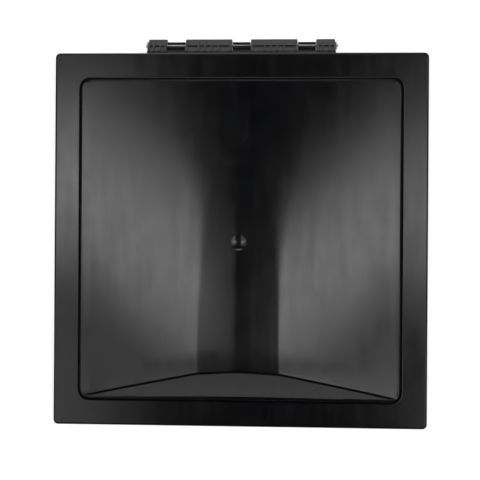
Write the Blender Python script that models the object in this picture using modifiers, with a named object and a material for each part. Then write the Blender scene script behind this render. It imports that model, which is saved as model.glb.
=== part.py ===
"""A square moulded roof vent lid with its hinge, lift track and rim seals.

Metres, +Z up. The origin is on the ground under the middle of the whole object. The hinge is
at +Y and the front edge at -Y. The lid lies closed and its skirt stands on z = 0.
"""

import math

import bmesh
import bpy
from mathutils import Matrix

# Lid shell
LID_WIDTH = 0.394
LID_DEPTH = 0.394
LID_DROP = 0.030          # from the flat border down to the skirt's lower edge
WALL = 0.0025
LID_CORNER = 0.005
RIM_FILLET = 0.0028
BORDER = 0.027            # flat border between the skirt's face and the raised panel
PANEL_RISE = 0.004
PANEL_DRAFT = 0.0025      # how far the panel's low wall leans in
PANEL_CORNER = 0.011
PANEL_FILLET = 0.0012
LEDGE = 0.002             # flat ledge between the panel's edge and the vault
VAULT_SLOPE = 0.23        # rise per unit of width outside the creases, at the front edge
CROWN_SLOPE = 0.07        # the same between the two creases
CREASE_X = 0.042          # creases beside the ridge
REAR_SHARE = 0.12         # vault's height at the back edge, as a share of that at the front
FRONT_SLOPE = 0.88        # rise per unit of depth on the front end
REAR_SLOPE = 5.6          # the same on the steep back end
REAR_FILLET = 0.0012
REAR_LEDGE = 0.0015       # flat ledge behind the vault's back end
DIMPLE_RADIUS = 0.009
DIMPLE_DEPTH = 0.0012
DIMPLE_FORWARD = 0.003    # dimple's middle in front of the lid's middle
GATE_RADIUS = 0.003
GATE_HEIGHT = 0.0006
BADGE_SIZE = (0.064, 0.015)
BADGE_FROM_FRONT = 0.0145
BADGE_HEIGHT = 0.0006
BADGE_RIBS = 3
BADGE_RIB_SIZE = (0.044, 0.0014)
BADGE_RIB_PITCH = 0.0038

# Ribs and bosses under the lid
RIB = 0.002
SEAL_RIB_DROP = 0.0055    # how far the two rim ribs hang below the border's underside
SEAL_INSET = 0.0235       # from the skirt's face to the inner rim rib's outer face
SEAL_WIDTH = 0.010
SEAL_THICKNESS = 0.008
SEAL_SIDE_GAP = 0.0005
SEAL_RIB_CORNER = 0.006
VAULT_RIB_REACH = 0.060
VAULT_RIB_DEPTH = 0.0042
BOSS_RADIUS = 0.005
BOSS_HOLE_DEPTH = 0.0052

# Hinge
LEAVES = (0.020, 0.050, 0.050, 0.020)
LEAF_GAP = 0.020
ROD_RADIUS = 0.0016
ROD_OUT = 0.0112          # rod's axis behind the skirt's face
ROD_HEIGHT = 0.010
ROD_OVERHANG = 0.003
ARM_REACH = 0.0187        # knuckle's tip behind the skirt's face
ARM_TOP = 0.0265
ARM_BOTTOM = 0.004
ARM_NOSE = 0.0085
WEB = 0.0025
WEB_TOP = 0.025
WEB_BOTTOM = 0.011
KNUCKLE_RIB = 0.0016
KNUCKLE_RIB_HEIGHT = 0.0012
KNUCKLE_RIB_PITCH = 0.007
KNUCKLE_RIB_COUNTS = (2, 4, 4, 2)
LEVEL_RIB_PLACE = 0.48    # level rib's place down the slope
LEVEL_RIB_SHARE = 0.8     # its height against the upright ribs
NUT_RADIUS = 0.0042
NUT_THICKNESS = 0.0012

# Vent-side slide
SLIDE_END = 0.002         # spine's ends beyond the outer knuckles
SPINE_IN = 0.016
SPINE_OUT = 0.0024
SPINE_HEIGHT = 0.005
SLOT_HEIGHT = 0.0017
SLOT_FLOOR = 0.0016
SLOT_ROOT = 0.004
HOOK_WALL = 0.00205
HOOK_MOUTH = math.radians(48)
HOOK_SIDE_GAP = 0.0005
HOOK_FOOT = 0.6           # foot's reach past the rod, as a share of the ring's radius
HOOK_HEEL = math.radians(165)   # where the ring runs back into the spine
NOTCH_GAP = 0.001         # between the spine and the notch in the lid's skirt
LOCK_SCREW_X = 0.045
LOCK_SCREW_IN = 0.009

# Lift track
TRACK_LENGTH = 0.160
TRACK_WIDTH = 0.026
TRACK_HEIGHT = 0.010
TRACK_SHEET = 0.0012
TRACK_LIP = 0.005
TRACK_DROP = 0.00442      # track's top below the ridge's underside, at the track's rear end
TRACK_SCREWS = 4
TRACK_SCREW_PITCH = 0.040

# Screws
SCREW_RADIUS = 0.0015
HEAD_RADIUS = 0.0034
HEAD_HEIGHT = 0.002
HEAD_FACE = 0.7           # head's flat face and straight side, as shares of its own size
HEAD_SIDE = 0.55
SOCKET_RADIUS = 0.0012
SOCKET_DEPTH = 0.001
HINGE_SCREW_HEIGHT = 0.018
HINGE_SCREW_REACH = 0.0066
TRACK_SCREW_LENGTH = 0.0064

GAP = 0.0003              # between pieces that touch
ROUND_STEPS = 24
SCREW_STEPS = 16
WELD = 0.00001
VAULT_ROWS = 8
EMBED = 0.0005            # how far joined shapes run into each other

LEAF_RUN = sum(LEAVES) + LEAF_GAP * (len(LEAVES) - 1)
LID_Y = -ARM_REACH / 2
REAR_FACE = LID_Y + LID_DEPTH / 2
ROD_Y = REAR_FACE + ROD_OUT
PANEL_X = LID_WIDTH / 2 - BORDER
PANEL_Y = LID_DEPTH / 2 - BORDER
VAULT_X = PANEL_X - PANEL_DRAFT - LEDGE
VAULT_FRONT = LID_Y - PANEL_Y + PANEL_DRAFT + LEDGE
VAULT_REAR = LID_Y + PANEL_Y - PANEL_DRAFT - REAR_LEDGE
PANEL_TOP = LID_DROP + PANEL_RISE


def vault_rise(x, y):
    """Height of the vault above the panel's top; it falls from the front to the back."""
    share = REAR_SHARE + (1 - REAR_SHARE) * (VAULT_REAR - y) / (VAULT_REAR - VAULT_FRONT)
    if abs(x) >= CREASE_X:
        return share * VAULT_SLOPE * (VAULT_X - abs(x))
    return share * (VAULT_SLOPE * (VAULT_X - CREASE_X) + CROWN_SLOPE * (CREASE_X - abs(x)))


TRACK_TOP = PANEL_TOP - WALL + vault_rise(0.0, LID_Y + TRACK_LENGTH / 2) - TRACK_DROP

PARTS = None
CUTTERS = None


def clear_scene():
    """Remove every object and collection that is in the file."""
    for obj in list(bpy.data.objects):
        bpy.data.objects.remove(obj)
    for collection in list(bpy.data.collections):
        bpy.data.collections.remove(collection)


def make_collections():
    """Make the collection for the pieces and the one for their cutters."""
    global PARTS, CUTTERS
    PARTS = bpy.data.collections.new("roof_vent_cover")
    CUTTERS = bpy.data.collections.new("cutters")
    bpy.context.scene.collection.children.link(PARTS)
    bpy.context.scene.collection.children.link(CUTTERS)


def material(name, color, roughness, metallic=0.0):
    """A Principled material."""
    made = bpy.data.materials.new(name)
    made.use_nodes = True
    shader = made.node_tree.nodes["Principled BSDF"]
    shader.inputs["Base Color"].default_value = (*color, 1.0)
    shader.inputs["Roughness"].default_value = roughness
    shader.inputs["Metallic"].default_value = metallic
    return made


def part(name, mesh, look):
    """Put a mesh in the scene as a named piece with its own material."""
    mesh.name = name
    mesh.materials.clear()
    mesh.materials.append(material(name + "_finish", *look))
    mesh.shade_smooth()
    mesh.set_sharp_from_angle(angle=math.radians(30))
    obj = bpy.data.objects.new(name, mesh)
    PARTS.objects.link(obj)
    return obj


def tool(name, mesh):
    """Put a mesh in the scene as a cutter, or as a shape that is joined to a piece."""
    obj = bpy.data.objects.new(name, mesh)
    CUTTERS.objects.link(obj)
    obj.hide_render = True
    obj.display_type = 'WIRE'
    return obj


def boolean(target, other, operation):
    """Join, cut or intersect the target with another object."""
    modifier = target.modifiers.new(other.name, 'BOOLEAN')
    modifier.object = other
    modifier.operation = operation
    modifier.solver = 'EXACT'


def mesh_from(bm, name):
    """Turn a bmesh into a mesh and free it."""
    mesh = bpy.data.meshes.new(name)
    bm.to_mesh(mesh)
    bm.free()
    return mesh


def merged(meshes, name):
    """One mesh that holds several separate closed shapes."""
    bm = bmesh.new()
    for mesh in meshes:
        bm.from_mesh(mesh)
        bpy.data.meshes.remove(mesh)
    return mesh_from(bm, name)


def box(x_span, y_span, z_span):
    """A box between pairs of limits."""
    spans = (x_span, y_span, z_span)
    centre = [(low + high) / 2 for low, high in spans]
    size = [high - low for low, high in spans]
    bm = bmesh.new()
    bmesh.ops.create_cube(bm, size=1.0, matrix=Matrix.LocRotScale(centre, None, size))
    return mesh_from(bm, "box")


def cylinder(radius, low, high, turn=Matrix.Identity(4), steps=ROUND_STEPS):
    """A cylinder on the turned Z axis, from low to high along it."""
    bm = bmesh.new()
    place = turn @ Matrix.Translation((0, 0, (low + high) / 2))
    bmesh.ops.create_cone(bm, cap_ends=True, segments=steps, radius1=radius, radius2=radius,
                          depth=high - low, matrix=place)
    return mesh_from(bm, "cylinder")


def arc(centre, radius, start, end, steps):
    """Points on an arc, both ends included; angles in radians."""
    return [(centre[0] + radius * math.cos(start + (end - start) * i / steps),
             centre[1] + radius * math.sin(start + (end - start) * i / steps))
            for i in range(steps + 1)]


def rounded_outline(half_x, half_y, corner, middle_y):
    """A rectangle with round corners about x = 0, y = middle_y."""
    points = []
    for quarter, (side_x, side_y) in enumerate(((1, 1), (-1, 1), (-1, -1), (1, -1))):
        centre = (side_x * (half_x - corner), middle_y + side_y * (half_y - corner))
        points += arc(centre, corner, quarter * math.pi / 2, (quarter + 1) * math.pi / 2, 4)
    return points


PLANE_TURNS = {
    "XY": Matrix.Identity(4),
    "XZ": Matrix(((1, 0, 0, 0), (0, 0, -1, 0), (0, 1, 0, 0), (0, 0, 0, 1))),
    "YZ": Matrix(((0, 0, 1, 0), (1, 0, 0, 0), (0, 1, 0, 0), (0, 0, 0, 1))),
}


def outline_solid(outlines, plane, low, high):
    """Flat outlines, the later ones holes, thickened between two places on the third axis."""
    curve = bpy.data.curves.new("outline", 'CURVE')
    curve.dimensions = '2D'
    curve.fill_mode = 'BOTH'
    curve.extrude = (high - low) / 2
    for points in outlines:
        spline = curve.splines.new('POLY')
        spline.points.add(len(points) - 1)
        for spot, (across, up) in zip(spline.points, points):
            spot.co = (across, up, 0, 1)
        spline.use_cyclic_u = True
    guide = bpy.data.objects.new("outline", curve)
    CUTTERS.objects.link(guide)
    seen = guide.evaluated_get(bpy.context.evaluated_depsgraph_get())
    mesh = bpy.data.meshes.new_from_object(seen)
    bpy.data.objects.remove(guide)
    bpy.data.curves.remove(curve)
    middle = (low + high) / 2
    if plane == "XZ":
        middle = -middle
    mesh.transform(PLANE_TURNS[plane] @ Matrix.Translation((0, 0, middle)))
    bm = bmesh.new()
    bm.from_mesh(mesh)
    bpy.data.meshes.remove(mesh)
    bmesh.ops.remove_doubles(bm, verts=bm.verts, dist=1e-6)
    bmesh.ops.recalc_face_normals(bm, faces=bm.faces)
    return mesh_from(bm, "solid")


def rounded_slab(half_x, half_y, low, high, corner, draft, fillet):
    """A slab with round corners, walls that lean in by the draft and a filleted upper edge."""
    bm = bmesh.new()
    place = Matrix.LocRotScale((0, LID_Y, (low + high) / 2), None,
                               (2 * half_x, 2 * half_y, high - low))
    bmesh.ops.create_cube(bm, size=1.0, matrix=place)
    uprights = [e for e in bm.edges if abs(e.verts[0].co.z - e.verts[1].co.z) > EMBED]
    bmesh.ops.bevel(bm, geom=uprights, offset=corner, segments=5, profile=0.5, affect='EDGES')
    top = [v for v in bm.verts if v.co.z > high - EMBED]
    for vert in top:
        core_x = max(-half_x + corner, min(half_x - corner, vert.co.x))
        core_y = max(LID_Y - half_y + corner, min(LID_Y + half_y - corner, vert.co.y))
        share = (corner - draft) / corner
        vert.co.x = core_x + (vert.co.x - core_x) * share
        vert.co.y = core_y + (vert.co.y - core_y) * share
    if fillet:
        rim = [e for e in bm.edges if all(v.co.z > high - EMBED for v in e.verts)]
        bmesh.ops.bevel(bm, geom=rim, offset=fillet, segments=4, profile=0.5, affect='EDGES')
    return mesh_from(bm, "slab")


def vault(inset):
    """The vault as a solid, its ridge falling to the back, its faces moved in by the inset."""
    base = PANEL_TOP - inset
    edge = VAULT_X + LEDGE / 2
    columns = [-edge, -(edge + CREASE_X) / 2, -CREASE_X, 0.0, CREASE_X, (edge + CREASE_X) / 2, edge]
    rear = VAULT_REAR - inset
    bm = bmesh.new()
    bmesh.ops.create_grid(bm, x_segments=len(columns) - 1, y_segments=VAULT_ROWS, size=0.5)
    low, high = VAULT_FRONT - LEDGE / 2, rear + LEDGE / 2
    for vert in bm.verts:
        vert.co.x = columns[round((vert.co.x + 0.5) * (len(columns) - 1))]
        vert.co.y = low + (vert.co.y + 0.5) * (high - low)
        vert.co.z = base + vault_rise(vert.co.x, vert.co.y)
    made = bmesh.ops.extrude_face_region(bm, geom=bm.faces[:], use_keep_orig=True)
    for item in made["geom"]:
        if isinstance(item, bmesh.types.BMVert):
            item.co.z = base - PANEL_RISE * 0.8
    bmesh.ops.triangulate(bm, faces=bm.faces[:])
    cuts = (((0, VAULT_FRONT, base), (0, -FRONT_SLOPE, 1)), ((0, rear, base), (0, REAR_SLOPE, 1)))
    for place, normal in cuts:
        found = bmesh.ops.bisect_plane(bm, geom=bm.verts[:] + bm.edges[:] + bm.faces[:],
                                       plane_co=place, plane_no=normal, clear_outer=True)
        rim = [item for item in found["geom_cut"] if isinstance(item, bmesh.types.BMEdge)]
        bmesh.ops.holes_fill(bm, edges=rim, sides=0)
    bmesh.ops.recalc_face_normals(bm, faces=bm.faces)
    if not inset:
        crest = [e for e in bm.edges if is_rear_crest(e, rear, base)]
        bmesh.ops.bevel(bm, geom=crest, offset=REAR_FILLET, segments=3, profile=0.5,
                        affect='EDGES')
    return mesh_from(bm, "vault")


def is_rear_crest(edge, rear, base):
    """Whether an edge lies along the top of the vault's back end."""
    on_plane = all(abs(v.co.y - (rear - (v.co.z - base) / REAR_SLOPE)) < 1e-5
                   for v in edge.verts)
    across = abs(edge.verts[0].co.x - edge.verts[1].co.x) > EMBED
    high = all(v.co.z > base - EMBED for v in edge.verts)
    return on_plane and across and high


def lid_form(name, inset, low):
    """The lid's solid outer form, or the same form moved in by the inset."""
    flange = rounded_slab(LID_WIDTH / 2 - inset, LID_DEPTH / 2 - inset, low, LID_DROP - inset,
                          LID_CORNER - inset * 0.8, 0.0, 0.0 if inset else RIM_FILLET)
    panel = rounded_slab(PANEL_X - inset, PANEL_Y - inset, LID_DROP - inset - EMBED,
                         PANEL_TOP - inset, PANEL_CORNER - inset * 0.8, PANEL_DRAFT,
                         0.0 if inset else PANEL_FILLET)
    body = tool(name, flange)
    boolean(body, tool(name + "_panel", panel), 'UNION')
    roof = tool(name + "_vault", vault(inset))
    boolean(roof, tool(name + "_footprint", footprint(inset)), 'INTERSECT')
    boolean(body, roof, 'UNION')
    return body


def footprint(inset):
    """Upright column with rounded corners that keeps the vault on the panel."""
    edge = LEDGE / 2
    return rounded_slab(VAULT_X + edge, VAULT_X + edge, PANEL_TOP - inset - PANEL_RISE,
                        PANEL_TOP + vault_rise(0.0, VAULT_FRONT) + WALL,
                        PANEL_CORNER - PANEL_DRAFT - edge, 0.0, 0.0)


def frozen(obj):
    """Apply an object's modifiers and hand back the mesh; the object is removed."""
    seen = obj.evaluated_get(bpy.context.evaluated_depsgraph_get())
    mesh = bpy.data.meshes.new_from_object(seen)
    bpy.data.objects.remove(obj)
    return mesh


def leaf_spans():
    """Low and high x of each hinge knuckle."""
    spans = []
    low = -LEAF_RUN / 2
    for width in LEAVES:
        spans.append((low, low + width))
        low += width + LEAF_GAP
    return spans


def seal_track():
    """Distance from the lid's middle to the seal strips' inner edges, along X and Y."""
    return LID_WIDTH / 2 - SEAL_INSET + SEAL_SIDE_GAP, LID_DEPTH / 2 - SEAL_INSET + SEAL_SIDE_GAP


def rim_ribs():
    """The two square ribs under the border that hold the seal strips between them."""
    low = LID_DROP - WALL - SEAL_RIB_DROP
    high = LID_DROP - WALL + EMBED
    ribs = []
    for inner in (-RIB, SEAL_WIDTH + 2 * SEAL_SIDE_GAP):
        half_x = LID_WIDTH / 2 - SEAL_INSET + inner
        half_y = LID_DEPTH / 2 - SEAL_INSET + inner
        corner = SEAL_RIB_CORNER
        ribs.append(outline_solid([rounded_outline(half_x + RIB, half_y + RIB, corner, LID_Y),
                                   rounded_outline(half_x, half_y, corner - RIB, LID_Y)],
                                  "XY", low, high))
    return ribs


def track_screw_places():
    """Places of the lift track's screws along Y."""
    first = LID_Y - TRACK_SCREW_PITCH * (TRACK_SCREWS - 1) / 2
    return [first + i * TRACK_SCREW_PITCH for i in range(TRACK_SCREWS)]


def under_vault(x, y):
    """Height of the vault's underside."""
    return PANEL_TOP - WALL + vault_rise(x, y)


def vault_ribs():
    """The long rib under the ridge and the cross ribs that carry the track's bosses."""
    ends = (LID_Y - TRACK_LENGTH / 2, LID_Y + TRACK_LENGTH / 2)
    roof = [(y, under_vault(0.0, y) + EMBED) for y in ends]
    foot = [(y, z - VAULT_RIB_DEPTH) for y, z in reversed(roof)]
    made = [outline_solid([roof + foot], "YZ", -RIB / 2, RIB / 2)]
    for place in track_screw_places():
        across = (VAULT_RIB_REACH, CREASE_X, 0.0, -CREASE_X, -VAULT_RIB_REACH)
        arch = [(x, under_vault(x, place) + EMBED) for x in across]
        middle = arch[2][1] - VAULT_RIB_DEPTH
        outline = arch + [(-VAULT_RIB_REACH, arch[-1][1] - RIB), (-BOSS_RADIUS / 2, middle),
                          (BOSS_RADIUS / 2, middle), (VAULT_RIB_REACH, arch[0][1] - RIB)]
        made.append(outline_solid([outline], "XZ", place - RIB / 2, place + RIB / 2))
    return made


def boss_turn(place):
    """Matrix of the upright axis through a track screw."""
    return Matrix.Translation((0, place, 0))


def bosses():
    """Bosses that the lift track hangs from."""
    return [cylinder(BOSS_RADIUS, TRACK_TOP + GAP, under_vault(0.0, place) + 2 * EMBED,
                     boss_turn(place))
            for place in track_screw_places()]


def hinge_screw_places():
    """Places of the hinge screws along X: the middle of each knuckle."""
    return [(low + high) / 2 for low, high in leaf_spans()]


def rearward(x, y, z):
    """Matrix that puts the Z axis along +Y at a point."""
    return Matrix.Translation((x, y, z)) @ Matrix.Rotation(-math.pi / 2, 4, 'X')


def badge():
    """A plain raised pad with level ribs on the front border."""
    middle = LID_Y - LID_DEPTH / 2 + BADGE_FROM_FRONT
    half_x, half_y = BADGE_SIZE[0] / 2, BADGE_SIZE[1] / 2
    pad = outline_solid([rounded_outline(half_x, half_y, half_y / 2, middle)], "XY",
                        LID_DROP - EMBED, LID_DROP + BADGE_HEIGHT)
    return pad, badge_ribs(middle)


def badge_ribs(middle):
    """The level ribs on the badge's pad."""
    ribs = []
    for i in range(BADGE_RIBS):
        y = middle + (i - (BADGE_RIBS - 1) / 2) * BADGE_RIB_PITCH
        half = BADGE_RIB_SIZE[1] / 2
        ribs.append(box((-BADGE_RIB_SIZE[0] / 2, BADGE_RIB_SIZE[0] / 2), (y - half, y + half),
                        (LID_DROP, LID_DROP + 2 * BADGE_HEIGHT)))
    return ribs


def crest_turn():
    """Matrix that stands on the ridge at the dimple, its Z axis square to the ridge's slope."""
    y = LID_Y - DIMPLE_FORWARD
    crest = PANEL_TOP + vault_rise(0.0, y)
    tilt = math.atan((vault_rise(0.0, y) - vault_rise(0.0, y + LEDGE)) / LEDGE)
    return Matrix.Translation((0, y, crest)) @ Matrix.Rotation(-tilt, 4, 'X')


def dimple():
    """Shallow cone that hollows the dimple in the ridge."""
    bm = bmesh.new()
    depth = 2 * DIMPLE_DEPTH
    bmesh.ops.create_cone(bm, cap_ends=True, segments=ROUND_STEPS, radius1=DIMPLE_RADIUS / 2,
                          radius2=DIMPLE_RADIUS * 3 / 2, depth=depth, matrix=crest_turn())
    return mesh_from(bm, "dimple")


def make_lid_shell():
    """The moulded cover."""
    shell = part("lid_shell", frozen(lid_form("lid_outer", 0.0, 0.0)),
                 ((0.012, 0.012, 0.014), 0.12))
    boolean(shell, lid_form("lid_inner", WALL, -EMBED), 'DIFFERENCE')
    boolean(shell, tool("rim_ribs", merged(rim_ribs(), "rim_ribs")), 'UNION')
    ribs = vault_ribs()
    frame = tool("ridge_rib", ribs[0])
    boolean(frame, tool("cross_ribs", merged(ribs[1:], "cross_ribs")), 'UNION')
    boolean(frame, tool("bosses", merged(bosses(), "bosses")), 'UNION')
    boolean(shell, frame, 'UNION')
    pad, ribs = badge()
    boolean(shell, tool("badge_pad", pad), 'UNION')
    boolean(shell, tool("badge_ribs", merged(ribs, "badge_ribs")), 'UNION')
    boolean(shell, tool("dimple", dimple()), 'DIFFERENCE')
    gate = cylinder(GATE_RADIUS, -DIMPLE_DEPTH - WALL / 2, GATE_HEIGHT - DIMPLE_DEPTH, crest_turn())
    boolean(shell, tool("gate", gate), 'UNION')
    boolean(shell, tool("lid_holes", merged(lid_holes(), "lid_holes")), 'DIFFERENCE')
    return shell


def lid_holes():
    """Screw holes in the skirt and the bosses, and the notch that clears the slide."""
    holes = []
    for x in hinge_screw_places():
        holes.append(cylinder(SCREW_RADIUS + GAP, -2 * WALL, WALL,
                              rearward(x, REAR_FACE, HINGE_SCREW_HEIGHT)))
    for place in track_screw_places():
        holes.append(cylinder(SCREW_RADIUS + GAP, TRACK_TOP, TRACK_TOP + GAP + BOSS_HOLE_DEPTH,
                              boss_turn(place)))
    half = LEAF_RUN / 2 + SLIDE_END + NOTCH_GAP
    holes.append(box((-half, half), (REAR_FACE - 2 * WALL, REAR_FACE + WALL),
                     (-EMBED, SPINE_HEIGHT + NOTCH_GAP)))
    return holes


def knuckle_slope():
    """Start, unit direction, unit normal and length of the knuckles' sloped face."""
    start = (REAR_FACE + 2 * GAP, ARM_TOP)
    end = (REAR_FACE + ARM_REACH, ARM_NOSE)
    length = math.dist(start, end)
    along = ((end[0] - start[0]) / length, (end[1] - start[1]) / length)
    return start, along, (-along[1], along[0]), length


def slope_strip(first, last, height):
    """Side view of a rib that lies on the knuckles' slope between two distances down it."""
    start, along, normal, _ = knuckle_slope()
    points = []
    for down, up in ((first, -EMBED), (last, -EMBED), (last, height), (first, height)):
        points.append((start[0] + along[0] * down + normal[0] * up,
                       start[1] + along[1] * down + normal[1] * up))
    return points


def make_hinge_strip():
    """Web behind the skirt with ribbed knuckles that hold the rod."""
    web = box((-LEAF_RUN / 2 + GAP, LEAF_RUN / 2 - GAP), (REAR_FACE + GAP, REAR_FACE + GAP + WEB),
              (WEB_BOTTOM, WEB_TOP))
    strip = part("hinge_strip", web, ((0.03, 0.03, 0.032), 0.5))
    start, _, _, length = knuckle_slope()
    outline = [start, (REAR_FACE + ARM_REACH, ARM_NOSE),
               (REAR_FACE + ARM_REACH, ARM_BOTTOM + ROD_RADIUS),
               (REAR_FACE + ARM_REACH - ROD_RADIUS, ARM_BOTTOM),
               (ROD_Y - ROD_HEIGHT / 2, ARM_BOTTOM), (start[0], WEB_BOTTOM - ROD_RADIUS)]
    knuckles = [outline_solid([outline], "YZ", low, high) for low, high in leaf_spans()]
    boolean(strip, tool("knuckles", merged(knuckles, "knuckles")), 'UNION')
    boolean(strip, tool("knuckle_ribs", merged(knuckle_ribs(length), "knuckle_ribs")), 'UNION')
    bars = []
    for low, high in leaf_spans():
        first = length * LEVEL_RIB_PLACE
        bar = slope_strip(first, first + KNUCKLE_RIB, KNUCKLE_RIB_HEIGHT * LEVEL_RIB_SHARE)
        bars.append(outline_solid([bar], "YZ", low + KNUCKLE_RIB, high - KNUCKLE_RIB))
    boolean(strip, tool("knuckle_bars", merged(bars, "knuckle_bars")), 'UNION')
    holes = [cylinder(ROD_RADIUS + GAP, -LEAF_RUN, LEAF_RUN, rod_turn())]
    for x in hinge_screw_places():
        holes.append(cylinder(SCREW_RADIUS + GAP, -WALL, HINGE_SCREW_REACH + GAP,
                              rearward(x, REAR_FACE, HINGE_SCREW_HEIGHT)))
    boolean(strip, tool("strip_holes", merged(holes, "strip_holes")), 'DIFFERENCE')
    return strip


def knuckle_ribs(length):
    """Upright ribs on the knuckles' slopes: a few in the middle and one near each end."""
    ribs = []
    outline = slope_strip(ROD_RADIUS, length - 2 * ROD_RADIUS, KNUCKLE_RIB_HEIGHT)
    for (low, high), count in zip(leaf_spans(), KNUCKLE_RIB_COUNTS):
        middle = (low + high) / 2
        places = [middle + (i - (count - 1) / 2) * KNUCKLE_RIB_PITCH for i in range(count)]
        places += [low + KNUCKLE_RIB, high - KNUCKLE_RIB]
        for x in places:
            ribs.append(outline_solid([outline], "YZ", x - KNUCKLE_RIB / 2, x + KNUCKLE_RIB / 2))
    return ribs


def rod_turn():
    """Matrix that puts the Z axis along +X on the rod's axis."""
    return Matrix.Translation((0, ROD_Y, ROD_HEIGHT)) @ Matrix.Rotation(math.pi / 2, 4, 'Y')


def make_rod_and_nuts():
    """The hinge rod and the push nuts on its ends."""
    half = LEAF_RUN / 2 + ROD_OVERHANG
    part("hinge_rod", cylinder(ROD_RADIUS, -half, half, rod_turn()), ((0.6, 0.6, 0.6), 0.25, 1.0))
    for name, side in (("push_nut_left", -1), ("push_nut_right", 1)):
        near = LEAF_RUN / 2 + GAP
        low, high = sorted((side * near, side * (near + NUT_THICKNESS)))
        nut = part(name, cylinder(NUT_RADIUS, low, high, rod_turn()), ((0.4, 0.4, 0.4), 0.35, 1.0))
        bore = cylinder(ROD_RADIUS + GAP, low - GAP, high + GAP, rod_turn())
        boolean(nut, tool(name + "_bore", bore), 'DIFFERENCE')


def hook_outline():
    """Side view of one hook: a foot out from the spine and a ring round the rod, open on top."""
    inner = ROD_RADIUS + GAP
    outer = inner + HOOK_WALL
    middle = (ROD_Y, ROD_HEIGHT)
    right = math.pi / 2 - HOOK_MOUTH
    left = math.pi / 2 + HOOK_MOUTH
    heel = REAR_FACE + SPINE_OUT - 2 * EMBED
    step = REAR_FACE + SPINE_OUT + 2 * EMBED
    return ([(heel, EMBED), (ROD_Y + outer * HOOK_FOOT, EMBED)]
            + arc(middle, outer, -math.pi / 4, right, 6)
            + arc(middle, inner, right, left - 2 * math.pi, 16)
            + arc(middle, outer, left, HOOK_HEEL, 2)
            + [(step, ROD_HEIGHT - EMBED), (step, SPINE_HEIGHT - EMBED),
               (heel, SPINE_HEIGHT - EMBED)])


def make_base_slide():
    """Vent-side half of the hinge: a slotted spine under the skirt, with hooks for the rod."""
    half = LEAF_RUN / 2 + SLIDE_END
    low_y = REAR_FACE - SPINE_IN
    spine = box((-half, half), (low_y, REAR_FACE + SPINE_OUT), (0.0, SPINE_HEIGHT))
    slide = part("base_slide", spine, ((0.03, 0.03, 0.032), 0.45))
    spans = leaf_spans()
    hooks = []
    for (_, low), (high, _) in zip(spans, spans[1:]):
        hooks.append(outline_solid([hook_outline()], "YZ", low + HOOK_SIDE_GAP,
                                   high - HOOK_SIDE_GAP))
    boolean(slide, tool("hooks", merged(hooks, "hooks")), 'UNION')
    slot = box((-half - EMBED, half + EMBED), (low_y - EMBED, REAR_FACE - SLOT_ROOT),
               (SLOT_FLOOR, SLOT_FLOOR + SLOT_HEIGHT))
    boolean(slide, tool("slot", slot), 'DIFFERENCE')
    holes = [cylinder(SCREW_RADIUS + GAP, -EMBED, SPINE_HEIGHT + EMBED, lock_screw_turn(side))
             for side in (-1, 1)]
    boolean(slide, tool("lock_holes", merged(holes, "lock_holes")), 'DIFFERENCE')


def lock_screw_turn(side):
    """Matrix of a lock screw's upright axis."""
    return Matrix.Translation((side * LOCK_SCREW_X, REAR_FACE - LOCK_SCREW_IN, 0))


def make_lift_track():
    """Steel channel, open below, that the crank arm's end slides in."""
    out = TRACK_WIDTH / 2
    lip = out - TRACK_LIP
    side = out - TRACK_SHEET
    low = TRACK_TOP - TRACK_HEIGHT
    floor = low + TRACK_SHEET
    roof = TRACK_TOP - TRACK_SHEET
    outline = [(-out, low), (-lip, low), (-lip, floor), (-side, floor), (-side, roof),
               (side, roof), (side, floor), (lip, floor), (lip, low), (out, low),
               (out, TRACK_TOP), (-out, TRACK_TOP)]
    half = TRACK_LENGTH / 2
    channel = outline_solid([outline], "XZ", LID_Y - half, LID_Y + half)
    track = part("lift_track", channel, ((0.55, 0.56, 0.57), 0.35, 1.0))
    holes = [cylinder(SCREW_RADIUS + GAP, roof - EMBED, TRACK_TOP + EMBED, boss_turn(place))
             for place in track_screw_places()]
    boolean(track, tool("track_holes", merged(holes, "track_holes")), 'DIFFERENCE')


def screw(name, length, place):
    """A pan-head screw: its head's underside at the place, its point along the turned +Z."""
    profile = [(SOCKET_RADIUS, -HEAD_HEIGHT), (HEAD_RADIUS * HEAD_FACE, -HEAD_HEIGHT),
               (HEAD_RADIUS, -HEAD_HEIGHT * HEAD_SIDE), (HEAD_RADIUS, 0.0), (SCREW_RADIUS, 0.0),
               (SCREW_RADIUS, length - SCREW_RADIUS), (0.0, length)]
    socket = -HEAD_HEIGHT + SOCKET_DEPTH
    profile = [(0.0, socket), (SOCKET_RADIUS, socket)] + profile
    bm = bmesh.new()
    verts = [bm.verts.new((r, 0.0, -h)) for r, h in profile]
    for first, second in zip(verts, verts[1:]):
        bm.edges.new((first, second))
    made = part(name, mesh_from(bm, name), ((0.5, 0.5, 0.5), 0.3, 1.0))
    spin = made.modifiers.new("turned", 'SCREW')
    spin.axis = 'Z'
    spin.steps = spin.render_steps = SCREW_STEPS
    spin.use_merge_vertices = True
    spin.merge_threshold = WELD
    made.matrix_world = place @ Matrix.Rotation(math.pi, 4, 'X')


def make_screws():
    """Hinge, lock and track screws."""
    for number, x in enumerate(hinge_screw_places(), 1):
        screw("hinge_screw_%d" % number, WALL + GAP + HINGE_SCREW_REACH,
              rearward(x, REAR_FACE - WALL - GAP, HINGE_SCREW_HEIGHT))
    for name, side in (("lock_screw_left", -1), ("lock_screw_right", 1)):
        top = Matrix.Translation((0, 0, SPINE_HEIGHT + GAP)) @ lock_screw_turn(side)
        screw(name, SPINE_HEIGHT, top @ Matrix.Rotation(math.pi, 4, 'X'))
    for number, place in enumerate(track_screw_places(), 1):
        height = TRACK_TOP - TRACK_SHEET - GAP
        screw("track_screw_%d" % number, TRACK_SCREW_LENGTH, Matrix.Translation((0, place, height)))


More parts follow.
